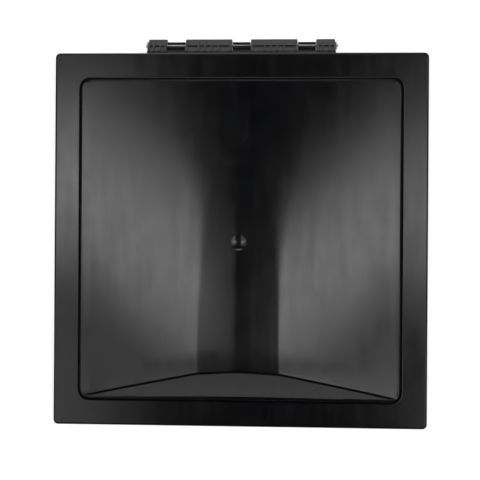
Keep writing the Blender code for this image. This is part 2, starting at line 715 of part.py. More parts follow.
def make_seals():
    """Four foam strips in the channel between the rim ribs."""
    in_x, in_y = seal_track()
    out_x, out_y = in_x + SEAL_WIDTH, in_y + SEAL_WIDTH
    high = LID_DROP - WALL - GAP
    z_span = (high - SEAL_THICKNESS, high)
    long_x = out_x - SEAL_RIB_CORNER / 2
    short_y = in_y - SEAL_SIDE_GAP
    look = ((0.05, 0.05, 0.05), 0.9)
    part("seal_front", box((-long_x, long_x), (LID_Y - out_y, LID_Y - in_y), z_span), look)
    part("seal_rear", box((-long_x, long_x), (LID_Y + in_y, LID_Y + out_y), z_span), look)
    part("seal_left", box((-out_x, -in_x), (LID_Y - short_y, LID_Y + short_y), z_span), look)
    part("seal_right", box((in_x, out_x), (LID_Y - short_y, LID_Y + short_y), z_span), look)


def main():
    """Build every piece."""
    clear_scene()
    make_collections()
    make_lid_shell()
    make_hinge_strip()
    make_rod_and_nuts()
    make_base_slide()
    make_lift_track()
    make_screws()
    make_seals()


main()
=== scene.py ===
"""Looks of a square moulded roof vent lid: its glossy cover, hinge, lift track and rim seals.

Metres, +Z up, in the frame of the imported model. The hinge is at +Y and the front edge at -Y.
"""

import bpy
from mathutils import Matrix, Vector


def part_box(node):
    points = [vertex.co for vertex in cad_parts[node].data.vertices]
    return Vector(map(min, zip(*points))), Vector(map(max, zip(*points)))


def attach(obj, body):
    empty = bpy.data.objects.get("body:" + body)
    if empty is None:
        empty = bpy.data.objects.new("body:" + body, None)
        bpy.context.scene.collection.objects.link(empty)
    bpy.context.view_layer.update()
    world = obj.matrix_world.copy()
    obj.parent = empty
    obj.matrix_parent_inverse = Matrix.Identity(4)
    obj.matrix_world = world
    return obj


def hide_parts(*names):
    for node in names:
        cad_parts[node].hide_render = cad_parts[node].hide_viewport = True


bl_info = {
    "name": "Roof Vent Lid",
    "version": (1, 0, 0),
    "blender": (4, 5, 0),
    "location": "View3D > Sidebar > Vent Lid",
    "description": "Builds a moulded roof vent lid with its rod hinge, lift track and seals",
    "category": "Object",
}

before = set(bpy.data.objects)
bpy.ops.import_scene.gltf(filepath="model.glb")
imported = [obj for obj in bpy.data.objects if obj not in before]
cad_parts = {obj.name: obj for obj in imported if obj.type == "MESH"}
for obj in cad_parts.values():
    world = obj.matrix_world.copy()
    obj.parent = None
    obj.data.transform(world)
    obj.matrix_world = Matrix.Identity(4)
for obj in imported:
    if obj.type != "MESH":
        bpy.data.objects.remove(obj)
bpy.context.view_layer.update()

import math

import bmesh
import bpy
from mathutils import Euler, Matrix, Vector

# The lid's own middle and rear face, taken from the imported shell
SHELL_LOW, SHELL_HIGH = (Vector(corner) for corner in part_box("lid_shell"))
LID_Y = (SHELL_LOW.y + SHELL_HIGH.y) / 2
REAR_FACE = SHELL_HIGH.y
HALF_WIDTH = SHELL_HIGH.x
HALF_DEPTH = (SHELL_HIGH.y - SHELL_LOW.y) / 2
ROD_LOW, ROD_HIGH = (Vector(corner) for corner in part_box("hinge_rod"))
ROD_RADIUS = (ROD_HIGH.z - ROD_LOW.z) / 2
ROD_Y = (ROD_LOW.y + ROD_HIGH.y) / 2
ROD_Z = (ROD_LOW.z + ROD_HIGH.z) / 2

MM = 0.001
OVERLAP = 0.4 * MM        # how far joined shapes run into each other
PLAY = 0.3 * MM           # between pieces that touch
SCREW_HOLE = 1.8 * MM     # radius of every clearance hole
SCREW_HEAD = 2 * MM       # height of a pan head
HINGE_SCREW_Z = 18 * MM
LOCK_SCREW_X = 45 * MM


class VentLidSizes(bpy.types.PropertyGroup):
    """Sizes of the moulded cover."""
    wall: bpy.props.FloatProperty(
        name="Wall", description="Thickness of the moulded wall",
        default=2.5 * MM, unit='LENGTH')
    border_height: bpy.props.FloatProperty(
        name="Border height", description="Flat border above the skirt's lower edge",
        default=30 * MM, unit='LENGTH')
    border: bpy.props.FloatProperty(
        name="Border", description="Width of the flat border round the panel",
        default=27 * MM, unit='LENGTH')
    panel_rise: bpy.props.FloatProperty(
        name="Panel rise", description="Height of the raised panel above the border",
        default=4 * MM, unit='LENGTH')
    panel_lean: bpy.props.FloatProperty(
        name="Panel lean", description="How far the panel's low wall leans in",
        default=2.5 * MM, unit='LENGTH')
    ledge: bpy.props.FloatProperty(
        name="Ledge", description="Flat ledge between the panel's edge and the vault",
        default=2 * MM, unit='LENGTH')
    crease: bpy.props.FloatProperty(
        name="Crease", description="Distance of the two creases from the ridge",
        default=42 * MM, unit='LENGTH')
    side_slope: bpy.props.FloatProperty(
        name="Side slope", description="Rise of the vault's sides at the front edge",
        default=0.23, min=0.02, max=0.6)
    crown_slope: bpy.props.FloatProperty(
        name="Crown slope", description="Rise between the creases at the front edge",
        default=0.07, min=0.0, max=0.4)
    front_slope: bpy.props.FloatProperty(
        name="Front slope", description="Rise of the vault's front end",
        default=0.88, min=0.2, max=2.0)
    rear_share: bpy.props.FloatProperty(
        name="Rear share", description="Height of the vault at the back against the front",
        default=0.12, subtype='FACTOR', min=0.0, max=1.0)


class VentLidColours(bpy.types.PropertyGroup):
    """Colours of the finishes, as sRGB hex."""
    cover: bpy.props.StringProperty(
        name="Cover", description="Glossy black polypropylene", default="#08090B")
    hinge: bpy.props.StringProperty(
        name="Hinge", description="Matte black glass-filled nylon", default="#1B1C1E")
    foam: bpy.props.StringProperty(
        name="Foam", description="Charcoal seal foam", default="#232426")


def sizes():
    """The cover's sizes."""
    return bpy.context.scene.vent_lid_sizes


def colours():
    """The finishes' colours."""
    return bpy.context.scene.vent_lid_colours


def deselect():
    """Leave edit mode with nothing selected."""
    if bpy.context.object and bpy.context.object.mode != 'OBJECT':
        bpy.ops.object.mode_set(mode='OBJECT')
    bpy.ops.object.select_all(action='DESELECT')


def activate(obj):
    """Make one object the only selected one."""
    deselect()
    obj.select_set(True)
    bpy.context.view_layer.objects.active = obj


def settle(name):
    """Name the primitive just added and put its place and size into its mesh."""
    obj = bpy.context.object
    obj.name = obj.data.name = name
    bpy.ops.object.transform_apply(location=True, rotation=True, scale=True)
    return obj


def pick(obj, kind, test):
    """Go into edit mode with the chosen vertices, edges or faces selected."""
    activate(obj)
    bpy.ops.object.mode_set(mode='EDIT')
    bpy.ops.mesh.select_mode(type=kind)
    bpy.ops.mesh.select_all(action='DESELECT')
    shape = bmesh.from_edit_mesh(obj.data)
    items = {'VERT': shape.verts, 'EDGE': shape.edges, 'FACE': shape.faces}[kind]
    chosen = [item for item in items if test(item)]
    if not chosen:
        raise RuntimeError("nothing to select on " + obj.name)
    for item in chosen:
        item.select_set(True)
    bmesh.update_edit_mesh(obj.data)


def reshape(obj, rule):
    """Move every vertex to where the rule puts it."""
    bpy.ops.object.mode_set(mode='OBJECT')
    for vert in obj.data.vertices:
        vert.co = rule(vert.co)
    obj.data.update()


def outward(obj):
    """Merge doubles and point the faces out."""
    pick(obj, 'VERT', lambda vert: True)
    bpy.ops.mesh.remove_doubles(threshold=0.001 * MM)
    bpy.ops.mesh.normals_make_consistent(inside=False)
    bpy.ops.object.mode_set(mode='OBJECT')


def block(name, low, high):
    """A rectangular solid between two corners, a start for a piece or a cutter."""
    deselect()
    low, high = Vector(low), Vector(high)
    bpy.ops.mesh.primitive_cube_add(size=1, location=(low + high) / 2)
    bpy.context.object.scale = high - low
    return settle(name)


TURNS = {'X': (0, math.pi / 2, 0), 'Y': (-math.pi / 2, 0, 0), 'Z': (0, 0, 0)}


def drum(name, radius, middle, length, axis='Z', sides=48):
    """A round solid about a middle, along an axis."""
    deselect()
    bpy.ops.mesh.primitive_cylinder_add(vertices=sides, radius=radius, depth=length,
                                        location=middle, rotation=TURNS[axis])
    return settle(name)


def slab(name, half_x, half_y, corner, low, high, lean=0.0):
    """A rounded rectangular slab about the lid's middle, its top leaned in."""
    deselect()
    bpy.ops.mesh.primitive_plane_add(size=1, location=(0, LID_Y, low))
    bpy.context.object.scale = (2 * half_x, 2 * half_y, 1)
    obj = settle(name)
    pick(obj, 'VERT', lambda vert: True)
    bpy.ops.mesh.bevel(offset=corner, segments=8, affect='VERTICES', clamp_overlap=False)
    bpy.ops.mesh.select_all(action='SELECT')
    bpy.ops.mesh.extrude_region_move(TRANSFORM_OT_translate={"value": (0, 0, high - low)})
    shrink_x, shrink_y = (half_x - lean) / half_x, (half_y - lean) / half_y

    def lean_in(place):
        """The slab's lower edge stays, its upper edge moves in."""
        if place.z < (low + high) / 2:
            return place
        return Vector((place.x * shrink_x, LID_Y + (place.y - LID_Y) * shrink_y, place.z))

    reshape(obj, lean_in)
    outward(obj)
    return obj


def profile(name, points, across, low, high):
    """A solid of one outline, run along X ("YZ" outlines) or along Y ("XZ" outlines)."""
    deselect()
    bpy.ops.mesh.primitive_circle_add(vertices=len(points), radius=1, fill_type='NGON')
    obj = settle(name)
    for vert, (first, second) in zip(obj.data.vertices, points):
        vert.co = (low, first, second) if across == "YZ" else (first, low, second)
    pick(obj, 'FACE', lambda face: True)
    run = (high - low, 0, 0) if across == "YZ" else (0, high - low, 0)
    bpy.ops.mesh.extrude_region_move(TRANSFORM_OT_translate={"value": run})
    outward(obj)
    return obj


def combine(obj, other, operation):
    """Add, cut or intersect another solid, which is used up."""
    activate(obj)
    step = obj.modifiers.new("Combine", 'BOOLEAN')
    step.operation = operation
    step.solver = 'EXACT'
    step.object = other
    bpy.ops.object.modifier_apply(modifier=step.name)
    bpy.data.objects.remove(other)
    return obj


def rounded(obj, width, segments=2, angle=35):
    """Round every sharp edge, then shade flat faces flat and rounds smooth."""
    activate(obj)
    step = obj.modifiers.new("Round", 'BEVEL')
    step.width = width
    step.segments = segments
    step.limit_method = 'ANGLE'
    step.angle_limit = math.radians(angle)
    step.use_clamp_overlap = True
    step.harden_normals = False
    bpy.ops.object.modifier_apply(modifier=step.name)
    smoothed(obj)
    return obj


def smoothed(obj, angle=40):
    """Smooth shading that leans on the larger faces, so that flats stay flat."""
    activate(obj)
    bpy.ops.object.shade_smooth_by_angle(angle=math.radians(angle))
    step = obj.modifiers.new("Weigh", 'WEIGHTED_NORMAL')
    step.keep_sharp = True
    bpy.ops.object.modifier_apply(modifier=step.name)
    return obj


def finished(obj, material, body, slot, *nodes):
    """Give a piece its finish, its body and the CAD nodes it stands for."""
    obj.data.materials.clear()
    obj.data.materials.append(material)
    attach(obj, body)
    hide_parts(*nodes)


def linear(code):
    """An sRGB hex colour as linear red, green, blue and alpha."""
    parts = [int(code[i:i + 2], 16) / 255 for i in (1, 3, 5)]
    return [c / 12.92 if c <= 0.04045 else ((c + 0.055) / 1.055) ** 2.4 for c in parts] + [1.0]


def add(tree, kind, settings=(), links=()):
    """Add a node: settings are its own properties or its sockets' values, links its inputs."""
    made = tree.nodes.new(kind)
    for key, value in dict(settings).items():
        if isinstance(key, str) and hasattr(made, key):
            setattr(made, key, value)
        else:
            made.inputs[key].default_value = value
    for key, source in dict(links).items():
        tree.links.new(source, made.inputs[key])
    return made


def finish(name, code, roughness, metallic=0.0, ior=None):
    """A Principled material with its constants on the shader, and Object coordinates."""
    made = bpy.data.materials.new(name)
    made.use_nodes = True
    tree = made.node_tree
    shader = tree.nodes["Principled BSDF"]
    shader.inputs["Base Color"].default_value = linear(code)
    shader.inputs["Roughness"].default_value = roughness
    shader.inputs["Metallic"].default_value = metallic
    if ior:
        shader.inputs["IOR"].default_value = ior
    place = add(tree, "ShaderNodeTexCoord").outputs["Object"]
    return made, tree, shader, place


def stretched(tree, place, scale):
    """The place, squeezed along each axis: a pattern comes out longer where the scale is low."""
    return add(tree, "ShaderNodeMapping", {"Scale": scale}, {"Vector": place}).outputs["Vector"]


def between(tree, source, low, high, start=0.0, end=1.0):
    """A pattern's value taken from one range to another."""
    return add(tree, "ShaderNodeMapRange",
               {"From Min": start, "From Max": end, "To Min": low, "To Max": high},
               {"Value": source}).outputs["Result"]


def shades(tree, source, dark, light):
    """A colour between two hex colours by a pattern's value."""
    made = add(tree, "ShaderNodeMix", {"data_type": 'RGBA'})
    made.inputs[6].default_value = linear(dark)
    made.inputs[7].default_value = linear(light)
    tree.links.new(source, made.inputs[0])
    return made.outputs[2]


def per_metre(size_mm):
    """A texture scale whose pattern repeats about every so many millimetres."""
    return 1000.0 / size_mm


def gloss_polypropylene():
    """Injection moulded polypropylene from a polished tool.

    Near black with a cool cast. Long soft reflections, a faint cloudy mottling of the colour
    and polish, drawn out along Y, shallow sink waves, and a few hair-fine handling scuffs.
    """
    made, tree, shader, place = finish("gloss_black_moulded_polypropylene",
                                       colours().cover, 0.2, ior=1.49)
    # A faint cloudy mottling of colour and polish, part round and part drawn out along Y
    cloud = add(tree, "ShaderNodeTexNoise",
                {"Scale": per_metre(22), "Detail": 4.0, "Roughness": 0.55},
                {"Vector": place}).outputs["Fac"]
    long_mottle = add(tree, "ShaderNodeTexNoise", {"Scale": 1.0, "Detail": 3.0},
               {"Vector": stretched(tree, place, (per_metre(9), per_metre(75), per_metre(40)))})
    both = add(tree, "ShaderNodeMath", {"operation": 'MULTIPLY_ADD', 1: 0.5},
               {0: cloud, 2: between(tree, long_mottle.outputs["Fac"], 0.0, 0.5)}).outputs[0]
    shade = shades(tree, between(tree, both, 0.0, 1.0, 0.3, 0.7), colours().cover, "#0E0F12")
    tree.links.new(shade, shader.inputs["Base Color"])
    # Hair scuffs: thin bright lines of a stretched pattern, kept to scattered patches
    hair = add(tree, "ShaderNodeTexNoise", {"Scale": 1.0, "Detail": 1.0},
               {"Vector": stretched(tree, place, (per_metre(1.1), per_metre(26), 30.0))})
    patch = add(tree, "ShaderNodeTexNoise", {"Scale": per_metre(70), "Detail": 1.0},
                {"Vector": place})
    scuff = add(tree, "ShaderNodeMath", {"operation": 'MULTIPLY'},
                {0: between(tree, hair.outputs["Fac"], 0.0, 1.0, 0.66, 0.74),
                 1: between(tree, patch.outputs["Fac"], 0.0, 1.0, 0.56, 0.68)}).outputs[0]
    polish = between(tree, both, 0.17, 0.25, 0.3, 0.7)
    rough = add(tree, "ShaderNodeMath", {"operation": 'MULTIPLY_ADD', 1: 0.05},
                {0: scuff, 2: polish}).outputs[0]
    tree.links.new(rough, shader.inputs["Roughness"])
    wave = add(tree, "ShaderNodeTexNoise", {"Scale": per_metre(45), "Detail": 1.0},
               {"Vector": place}).outputs["Fac"]
    sink = add(tree, "ShaderNodeBump", {"Strength": 0.5, "Distance": 0.12 * MM},
               {"Height": wave}).outputs["Normal"]
    skin = add(tree, "ShaderNodeTexNoise", {"Scale": per_metre(1.6), "Detail": 2.0},
               {"Vector": place}).outputs["Fac"]
    grain = add(tree, "ShaderNodeBump", {"Strength": 0.1, "Distance": 0.01 * MM},
                {"Height": skin, "Normal": sink}).outputs["Normal"]
    tree.links.new(grain, shader.inputs["Normal"])
    return made


def matte_nylon(name, size_mm, light):
    """Moulded glass-filled nylon from a spark-eroded tool.

    Dark grey, with a fine even texture that scatters light, and paler fibre flecks.
    """
    made, tree, shader, place = finish(name, colours().hinge, 0.5, ior=1.53)
    fleck = add(tree, "ShaderNodeTexNoise", {"Scale": per_metre(size_mm), "Detail": 5.0},
                {"Vector": place}).outputs["Fac"]
    shade = shades(tree, between(tree, fleck, 0.0, 1.0, 0.4, 0.7), colours().hinge, light)
    tree.links.new(shade, shader.inputs["Base Color"])
    tree.links.new(between(tree, fleck, 0.42, 0.58, 0.3, 0.7), shader.inputs["Roughness"])
    pits = add(tree, "ShaderNodeTexVoronoi", {"Scale": per_metre(size_mm / 2)},
               {"Vector": place}).outputs["Distance"]
    grain = add(tree, "ShaderNodeBump", {"Strength": 0.35, "Distance": 0.04 * MM},
                {"Height": pits}).outputs["Normal"]
    tree.links.new(grain, shader.inputs["Normal"])
    return made


def drawn_steel():
    """Bright drawn steel rod: pale, with die lines along its length and a low, even tarnish."""
    made, tree, shader, place = finish("drawn_bright_steel", "#D6D6D2", 0.2, metallic=1.0)
    lines = add(tree, "ShaderNodeTexNoise", {"Scale": 1.0, "Detail": 3.0},
                {"Vector": stretched(tree, place, (12.0, per_metre(0.25), per_metre(0.25)))})
    tarnish = add(tree, "ShaderNodeTexNoise", {"Scale": per_metre(12), "Detail": 4.0},
                  {"Vector": place}).outputs["Fac"]
    shade = shades(tree, between(tree, tarnish, 0.0, 1.0, 0.35, 0.7), "#DCDCD8", "#B9B7B1")
    tree.links.new(shade, shader.inputs["Base Color"])
    tree.links.new(between(tree, lines.outputs["Fac"], 0.14, 0.3, 0.3, 0.7),
                   shader.inputs["Roughness"])
    grain = add(tree, "ShaderNodeBump", {"Strength": 0.25, "Distance": 0.02 * MM},
                {"Height": lines.outputs["Fac"]}).outputs["Normal"]
    tree.links.new(grain, shader.inputs["Normal"])
    return made


def zinc_plate(name, dark, light, size_mm, low, high):
    """Zinc-plated pressed steel: grey, with soft patches of dull and bright plating."""
    made, tree, shader, place = finish(name, light, low, metallic=1.0)
    patch = add(tree, "ShaderNodeTexVoronoi",
                {"Scale": per_metre(size_mm), "feature": 'SMOOTH_F1'},
                {"Vector": place}).outputs["Distance"]
    cloud = add(tree, "ShaderNodeTexNoise", {"Scale": per_metre(size_mm * 2), "Detail": 4.0},
                {"Vector": place}).outputs["Fac"]
    both = add(tree, "ShaderNodeMath", {"operation": 'MULTIPLY_ADD', 1: 0.5},
               {0: patch, 2: between(tree, cloud, 0.0, 0.6)}).outputs[0]
    tree.links.new(shades(tree, both, dark, light), shader.inputs["Base Color"])
    tree.links.new(between(tree, both, low, high, 0.2, 0.8), shader.inputs["Roughness"])
    grain = add(tree, "ShaderNodeBump", {"Strength": 0.15, "Distance": 0.02 * MM},
                {"Height": cloud}).outputs["Normal"]
    tree.links.new(grain, shader.inputs["Normal"])
    return made


def seal_foam():
    """Closed-cell EPDM foam cut from sheet: charcoal, dull, its cut cells showing as pits, with
    painted shade darkening the middle of each pit.
    """
    made, tree, shader, place = finish("closed_cell_epdm_foam", colours().foam, 0.95, ior=1.45)
    cells = add(tree, "ShaderNodeTexVoronoi", {"Scale": per_metre(1.1)},
                {"Vector": place}).outputs["Distance"]
    # Painted shade: the colour darkens towards each cell's middle, where the bump below sinks a
    # pit
    shade = shades(tree, between(tree, cells, 0.0, 1.0, 0.1, 0.6), "#161718", "#2E3033")
    tree.links.new(shade, shader.inputs["Base Color"])
    pits = add(tree, "ShaderNodeBump", {"Strength": 0.7, "Distance": 0.25 * MM},
               {"Height": cells}).outputs["Normal"]
    tree.links.new(pits, shader.inputs["Normal"])
    return made


COLUMNS = 76              # of the vault's skin, closer together near the creases
ROWS = 60
ROW_SHARES = (0.0, 0.2, 0.4, 0.86, 1.0)   # rows up to each stop along the vault
FRONT_ROUND = 1.5 * MM    # bend above the front end
REAR_ROUND = 0.5 * MM
RIDGE_ROUND = 2 * MM      # how softly the two middle slopes meet
CREASE_FRONT = 1.6 * MM   # half width of a crease's bend at the front
CREASE_REAR = 30 * MM     # the same at the back, where the creases fade out
BROW = 12 * MM            # strip above the front end that starts to bend down
BROW_SLOPE = 0.07
REAR_SLOPE = 5.6
REAR_LEDGE = 1.5 * MM     # flat ledge behind the vault's back end
BORDER_CORNER = 5 * MM
PANEL_CORNER = 11 * MM
CORNER_INSET = 0.8        # how much of an inset a rounded corner takes up
RIM_ROUND = 2.8 * MM
PANEL_ROUND = 1.2 * MM
FOOT_ROUND = 1.3 * MM
PANEL_SUNK = 1 * MM       # how far the panel's solid runs down into the border
HOLLOW_LOW = -5 * MM      # the hollow runs out below the skirt


def ramp(t):
    """Zero before the bend, one for one after it, and a smooth turn between."""
    return 0.0 if t < -1 else t if t > 1 else (t + 1) ** 2 / 4


def vault_ends():
    """Places along Y of the vault's front and back edges on the panel."""
    s = sizes()
    half = HALF_DEPTH - s.border - s.panel_lean
    return LID_Y - half + s.ledge, LID_Y + half - REAR_LEDGE


def vault_half_width():
    """Half the vault's width where it meets the panel's ledge."""
    s = sizes()
    return HALF_WIDTH - s.border - s.panel_lean - s.ledge


def vault_rise(x, y):
    """Height of the vault above the panel: two slopes a side, falling towards the back."""
    s = sizes()
    front, rear = vault_ends()
    along = (rear - y) / (rear - front)
    share = s.rear_share + (1 - s.rear_share) * along
    across = math.sqrt(x * x + RIDGE_ROUND ** 2)
    fade = min(max(1.25 - 1.6 * along, 0.0), 1.0) ** 2
    bend = CREASE_FRONT + (CREASE_REAR - CREASE_FRONT) * fade
    rise = s.side_slope * (vault_half_width() - across)
    rise -= (s.side_slope - s.crown_slope) * bend * ramp((s.crease - across) / bend)
    rise *= share
    behind = (y - front) - rise / s.front_slope
    return rise - BROW_SLOPE * BROW / 2 * ramp((BROW - behind) / (BROW / 2)) * min(
        max(rise, 0.0) / (20 * MM), 1.0)


def column_place(step):
    """Place across the vault of a column, from -1 to 1: closer together near the creases."""
    reach = vault_half_width() + sizes().ledge / 2
    crease = sizes().crease / reach
    side = math.copysign(1, step)
    t = abs(step)
    if t < 0.5:
        return side * reach * crease * (1 - (1 - t / 0.5) ** 1.8)
    return side * reach * (crease + (1 - crease) * ((t - 0.5) / 0.5) ** 1.8)


def crease_place(x):
    """Place along Y where the front end meets the vault's long slope."""
    s = sizes()
    front, rear = vault_ends()
    across = abs(x)
    full = s.side_slope * (vault_half_width() - max(across, s.crease))
    full += s.crown_slope * max(s.crease - across, 0.0)
    run = rear - front
    return front + run * full / (s.front_slope * run + full * (1 - s.rear_share))


def row_place(t, x, rear):
    """Place along Y of a row, from 0 to 1: rows crowd at the front crease and the back end."""
    front = vault_ends()[0]
    crease = crease_place(x)
    half = min(3 * MM, (crease - front) / 2 + 0.3 * MM)
    stops = (front - MM, crease - half, crease + half, rear - 1.2 * MM, rear + 0.4 * MM)
    for low, high, first, last in zip(ROW_SHARES, ROW_SHARES[1:], stops, stops[1:]):
        if t <= high:
            return first + (last - first) * (t - low) / (high - low)
    return stops[-1]


def lower_of(first, second, bend):
    """The lower of two heights, with a round where they cross."""
    return first - bend * ramp((first - second) / bend)


def vault(name, inset):
    """The vault as a solid on a rounded footprint, its faces moved in by the inset."""
    s = sizes()
    base = s.border_height + s.panel_rise - inset
    front, rear = vault_ends()
    rear -= inset
    deselect()
    bpy.ops.mesh.primitive_grid_add(x_subdivisions=COLUMNS, y_subdivisions=ROWS, size=2)
    obj = settle(name)

    def rise(place):
        """Where a point of the square grid comes on the vault's skin."""
        x = column_place(place.x)
        y = row_place((place.y + 1) / 2, x, rear)
        height = lower_of(vault_rise(x, y), s.front_slope * (y - front), FRONT_ROUND)
        return Vector((x, y, base + lower_of(height, REAR_SLOPE * (rear - y), REAR_ROUND)))

    reshape(obj, rise)
    pick(obj, 'FACE', lambda face: True)
    bpy.ops.mesh.quads_convert_to_tris()
    bpy.ops.mesh.extrude_region_move(TRANSFORM_OT_translate={"value": (0, 0, -100 * MM)})
    bpy.ops.object.mode_set(mode='OBJECT')
    under = base - s.panel_rise * 0.9
    for vert in obj.data.vertices:
        if vert.co.z < 0:
            vert.co.z = under
    outward(obj)
    edge = vault_half_width() + s.ledge / 2
    column = slab("footprint", edge, edge, PANEL_CORNER - s.panel_lean - s.ledge / 2,
                  base - s.panel_rise, base + 60 * MM)
    return combine(obj, column, 'INTERSECT')


def cover_form(name, inset):
    """Skirt, border, raised panel and vault as one solid, its faces moved in by the inset."""
    s = sizes()
    low = HOLLOW_LOW if inset else 0.0
    border = s.border_height - inset
    out_x, out_y = HALF_WIDTH - inset, HALF_DEPTH - inset
    obj = slab(name, out_x, out_y, BORDER_CORNER - inset * CORNER_INSET, low, border)
    lean = s.panel_lean / s.panel_rise
    panel = slab("panel", HALF_WIDTH - s.border - inset + PANEL_SUNK * lean,
                 HALF_DEPTH - s.border - inset + PANEL_SUNK * lean,
                 PANEL_CORNER - inset * CORNER_INSET, border - PANEL_SUNK,
                 border + s.panel_rise, lean=s.panel_lean + PANEL_SUNK * lean)
    if not inset:
        rounded_edges(obj, border, RIM_ROUND, 5)
        rounded_edges(panel, border + s.panel_rise, PANEL_ROUND, 4)
    combine(obj, panel, 'UNION')
    if not inset:
        foot_round(obj, border)
    return combine(obj, vault("vault", inset), 'UNION')


def foot_round(obj, border):
    """Fill the inner corner where the panel's wall meets the border with a small round."""
    reach_x = HALF_WIDTH - sizes().border + 2 * MM
    reach_y = HALF_DEPTH - sizes().border + 2 * MM
    pick(obj, 'EDGE', lambda edge: len(edge.link_faces) == 2
         and edge.calc_face_angle(0) > math.radians(20)
         and all(abs(v.co.z - border) < 0.02 * MM and abs(v.co.x) < reach_x
                 and abs(v.co.y - LID_Y) < reach_y for v in edge.verts))
    bpy.ops.mesh.bevel(offset=FOOT_ROUND, segments=5, affect='EDGES', clamp_overlap=True)
    bpy.ops.object.mode_set(mode='OBJECT')


def rounded_edges(obj, height, width, segments):
    """Round the edges that lie at one height."""
    pick(obj, 'EDGE', lambda edge: all(abs(v.co.z - height) < 0.01 * MM for v in edge.verts))
    bpy.ops.mesh.bevel(offset=width, segments=segments, affect='EDGES', clamp_overlap=True)
    bpy.ops.object.mode_set(mode='OBJECT')


def ring(name, inner, outer, corner, low, high):
    """A square rib that runs round the lid, between two distances from its middle."""
    out = slab(name, outer, outer, corner, low, high)
    hole = slab("ring_hole", inner, inner, corner - (outer - inner), low - MM, high + MM)
    return combine(out, hole, 'DIFFERENCE')


TRACK_SCREW_STEPS = (-60 * MM, -20 * MM, 20 * MM, 60 * MM)
HINGE_SCREWS = (-90 * MM, -35 * MM, 35 * MM, 90 * MM)
RIB_REACH = 60 * MM
RIB_DEPTH = 4.2 * MM
RIB_TIP_DEPTH = 2 * MM    # a cross rib's depth at its ends
BOSS_RADIUS = 5 * MM
BOSS_HOLE = 5.5 * MM      # depth of a boss's hole


def under_ribs():
    """Ridge rib, cross ribs and hollow screw bosses under the vault."""
    s = sizes()
    ceiling = s.border_height + s.panel_rise - s.wall

    def roof(x, y):
        """Height just inside the vault's wall."""
        return ceiling + vault_rise(x, y) + OVERLAP

    ends = (LID_Y - 80 * MM, LID_Y + 80 * MM)
    outline = [(y, roof(0, y)) for y in ends] + [(y, roof(0, y) - RIB_DEPTH) for y in ends[::-1]]
    made = [profile("ridge_rib", outline, "YZ", -1 * MM, 1 * MM)]
    for step in TRACK_SCREW_STEPS:
        y = LID_Y + step
        arch = [(x, roof(x, y)) for x in (RIB_REACH, s.crease, 0.0, -s.crease, -RIB_REACH)]
        foot = arch[2][1] - RIB_DEPTH
        outline = arch + [(-RIB_REACH, arch[-1][1] - RIB_TIP_DEPTH), (-2.5 * MM, foot),
                          (2.5 * MM, foot), (RIB_REACH, arch[0][1] - RIB_TIP_DEPTH)]
        made.append(profile("cross_rib", outline, "XZ", y - MM, y + MM))
        top = roof(0, y) + OVERLAP
        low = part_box("lift_track")[1][2] + PLAY
        made.append(drum("boss", BOSS_RADIUS, (0, y, (top + low) / 2), top - low, sides=40))
    return made


def cover_holes():
    """Screw holes in the bosses and the skirt, and the notch that clears the slide."""
    track_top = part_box("lift_track")[1][2]
    holes = [drum("boss_hole", SCREW_HOLE, (0, LID_Y + step, track_top + BOSS_HOLE / 2),
                  BOSS_HOLE, sides=24) for step in TRACK_SCREW_STEPS]
    holes += [drum("skirt_hole", SCREW_HOLE, (x, REAR_FACE - 1.25 * MM, HINGE_SCREW_Z), 8 * MM,
                   axis='Y', sides=24) for x in HINGE_SCREWS]
    slide_high = Vector(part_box("base_slide")[1])
    half = slide_high.x + 1 * MM
    holes.append(block("notch", (-half, REAR_FACE - 6 * MM, -MM),
                       (half, REAR_FACE + 3 * MM, 6 * MM)))
    return holes


DISH_RADIUS = 8.5 * MM
DISH_DEPTH = 1.8 * MM
GATE_RADIUS = 3 * MM


def ridge_stand():
    """Matrix that stands on the ridge at the gate, square to the ridge's slope."""
    y = LID_Y - 3 * MM
    s = sizes()
    tilt = math.atan((vault_rise(0, y) - vault_rise(0, y + MM)) / MM)
    crest = s.border_height + s.panel_rise + vault_rise(0, y)
    return Matrix.Translation((0, y, crest)) @ Matrix.Rotation(-tilt, 4, 'X')


def ridge_dish(cover):
    """The shallow dish in the ridge with the moulding gate's ring at its middle."""
    ball = (DISH_RADIUS ** 2 + DISH_DEPTH ** 2) / (2 * DISH_DEPTH)
    stand = ridge_stand()
    deselect()
    bpy.ops.mesh.primitive_uv_sphere_add(segments=96, ring_count=96, radius=ball)
    dish = settle("dish")
    reshape(dish, lambda place: stand @ (place + Vector((0, 0, ball - DISH_DEPTH))))
    combine(cover, dish, 'DIFFERENCE')
    deselect()
    bpy.ops.mesh.primitive_cylinder_add(vertices=48, radius=GATE_RADIUS, depth=2 * MM)
    gate = settle("gate")
    pick(gate, 'FACE', lambda face: face.normal.z > 0.9)
    bpy.ops.mesh.inset(thickness=0.9 * MM)
    bpy.ops.mesh.extrude_region_move(TRANSFORM_OT_translate={"value": (0, 0, -0.5 * MM)})
    bpy.ops.object.mode_set(mode='OBJECT')
    rounded(gate, 0.15 * MM)
    reshape(gate, lambda place: stand @ (place + Vector((0, 0, -2.2 * MM))))
    combine(cover, gate, 'UNION')


PAD_HALF_WIDTH = 32 * MM
PAD_HALF_DEPTH = 7.5 * MM
PAD_HEIGHT = 0.6 * MM
PAD_PLACE = 14.5 * MM     # from the lid's front edge to the pad's middle
GRIP_STEP = 3.8 * MM
GRIP_HALF_WIDTH = 22 * MM
GRIP_HEIGHT = 1.2 * MM


